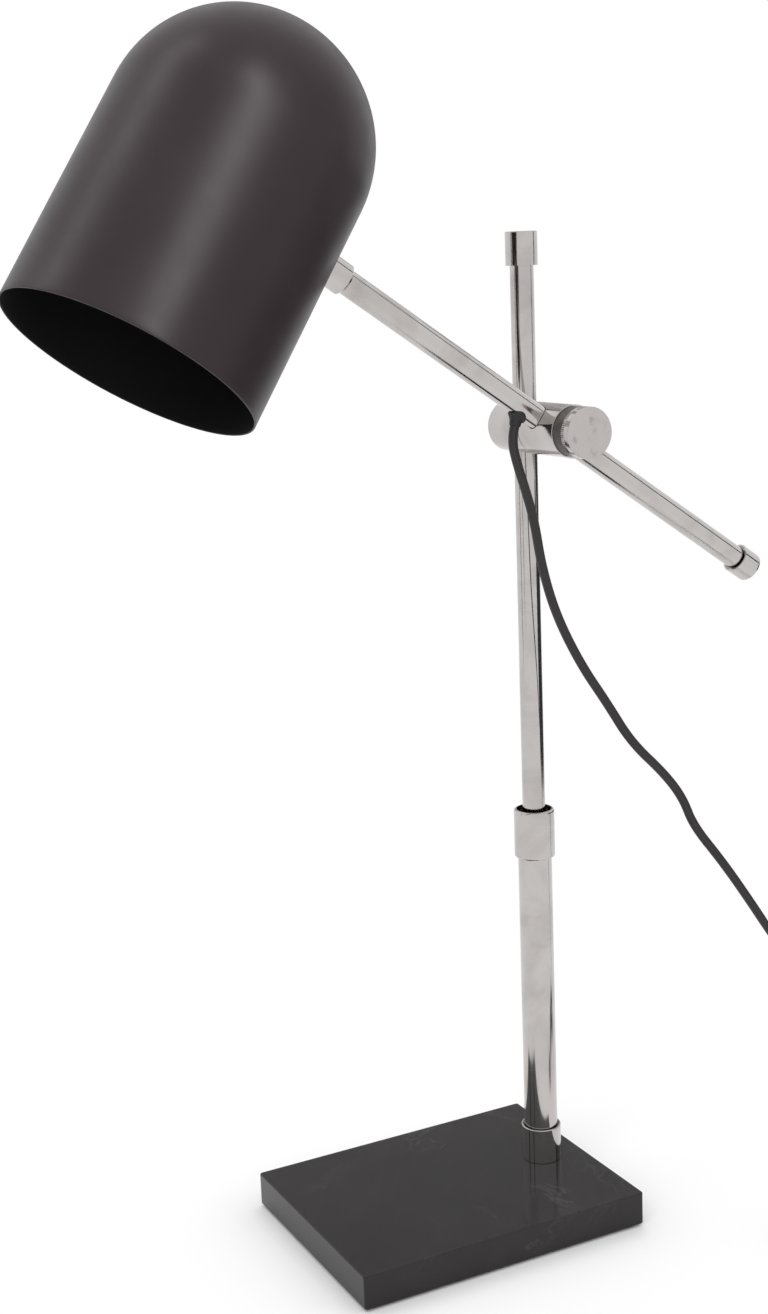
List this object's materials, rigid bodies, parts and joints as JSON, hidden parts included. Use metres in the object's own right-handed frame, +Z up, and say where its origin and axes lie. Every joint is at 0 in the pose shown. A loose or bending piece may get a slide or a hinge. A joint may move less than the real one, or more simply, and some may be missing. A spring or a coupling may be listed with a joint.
{
  "type": "desk lamp",
  "caption": "Desk lamp with a stone base, a two-part metal post and a straight arm in a knob clamp, with a domed shade at one end and a weighted cap at the other.",
  "frame": {"origin": "centre of the underside of the base, on the surface it stands on", "axes": "+Z up; +X along the base towards the post; -Y towards the side of the clamp knob; the arm's shade end points to -X"},
  "size_m": [0.5792, 0.2141, 0.6537],
  "materials": {
    "felt": "matte",
    "stone": "polished",
    "steel": "satin",
    "brass": "satin",
    "nickel": "polished",
    "nylon": "matte",
    "dark_ring": "matte",
    "rubber": "matte",
    "cord": "matte",
    "shade_paint": "matte",
    "aluminium": "satin",
    "holder_plastic": "gloss",
    "ceramic": "gloss",
    "opal_glass": "satin",
    "black_plastic": "gloss"
  },
  "bodies": {
    "base": {"felt_pad": "felt", "stone_base": "stone", "base_rod": "steel", "base_nut": "steel", "base_washer": "steel", "threaded_plug": "brass", "foot_collar": "nickel", "lower_tube": "nickel", "mid_bush": "brass", "tube_pin": "steel", "mid_collar": "nickel", "upper_tube": "nickel", "top_cap": "nickel", "cord_drop": "cord", "cord_coil": "cord", "switch_cord": "cord", "switch_base": "black_plastic", "switch_lid": "black_plastic", "switch_screws": "steel", "plug_cord": "cord", "plug_body": "black_plastic", "plug_pins": "nickel"},
    "post_liner": {"post_liner": "nylon"},
    "rear_clamp": {"rear_block": "nickel", "tilt_washer": "nylon", "retaining_ring": "steel", "thrust_pin": "brass"},
    "front_clamp": {"front_block": "nickel", "spacer_ring": "dark_ring"},
    "pad": {"clamp_pad": "nylon"},
    "knob": {"clamp_screw": "steel", "clamp_knob": "nickel"},
    "arm_liner": {"arm_liner": "nylon"},
    "arm": {"arm_tube": "nickel", "tail_cap": "nickel", "counterweight": "steel", "arm_collar": "nickel", "arm_nipple": "brass", "cord_grommet": "rubber", "inner_lead": "cord", "shade": "shade_paint", "saddle_washer": "aluminium", "arm_nut": "steel", "holder_bracket": "steel", "holder_nipple": "brass", "holder_nut": "steel", "holder_cap": "holder_plastic", "holder_shell": "holder_plastic", "holder_core": "ceramic", "screw_shell": "brass", "holder_contact": "brass", "bulb_base": "brass", "bulb_glass": "opal_glass"},
    "rocker": {"switch_rocker": "black_plastic"}
  },
  "joints": [
    {"name": "clamp_slide", "type": "slide", "parent": "base", "child": "post_liner", "axis": [0, 0, 1], "range_m": [-0.198, 0.07], "deforming": ["cord_drop"]},
    {"name": "clamp_swivel", "type": "hinge", "parent": "post_liner", "child": "rear_clamp", "pos_m": [0.063, 0, 0.4447], "axis": [0, 0, 1], "range_deg": [-120, 120]},
    {"name": "arm_tilt", "type": "hinge", "parent": "rear_clamp", "child": "front_clamp", "pos_m": [0.063, -0.0291, 0.4447], "axis": [0, 1, 0], "range_deg": [-64.2, 25.8]},
    {"name": "arm_roll", "type": "hinge", "parent": "front_clamp", "child": "arm_liner", "pos_m": [0.063, -0.0291, 0.4447], "axis": [-0.8271, 0, 0.5621], "range_deg": [-90, 90]},
    {"name": "arm_slide", "type": "slide", "parent": "arm_liner", "child": "arm", "axis": [-0.8271, 0, 0.5621], "range_m": [-0.004, 0.125]},
    {"name": "pad_travel", "type": "slide", "parent": "front_clamp", "child": "pad", "axis": [0, -1, 0], "range_m": [0, 0.000625]},
    {"name": "knob_turn", "type": "hinge", "parent": "pad", "child": "knob", "pos_m": [0.063, -0.056, 0.4447], "axis": [0, -1, 0], "range_deg": [0, 180.2]},
    {"name": "switch_rock", "type": "hinge", "parent": "base", "child": "rocker", "pos_m": [0.252, -0.1291, 0.0151], "axis": [0, 1, 0], "range_deg": [0, 16]}
  ],
  "couplings": [
    {"joint": "knob_turn", "follows": "pad_travel", "rad_per_m": 5026.5}
  ]
}
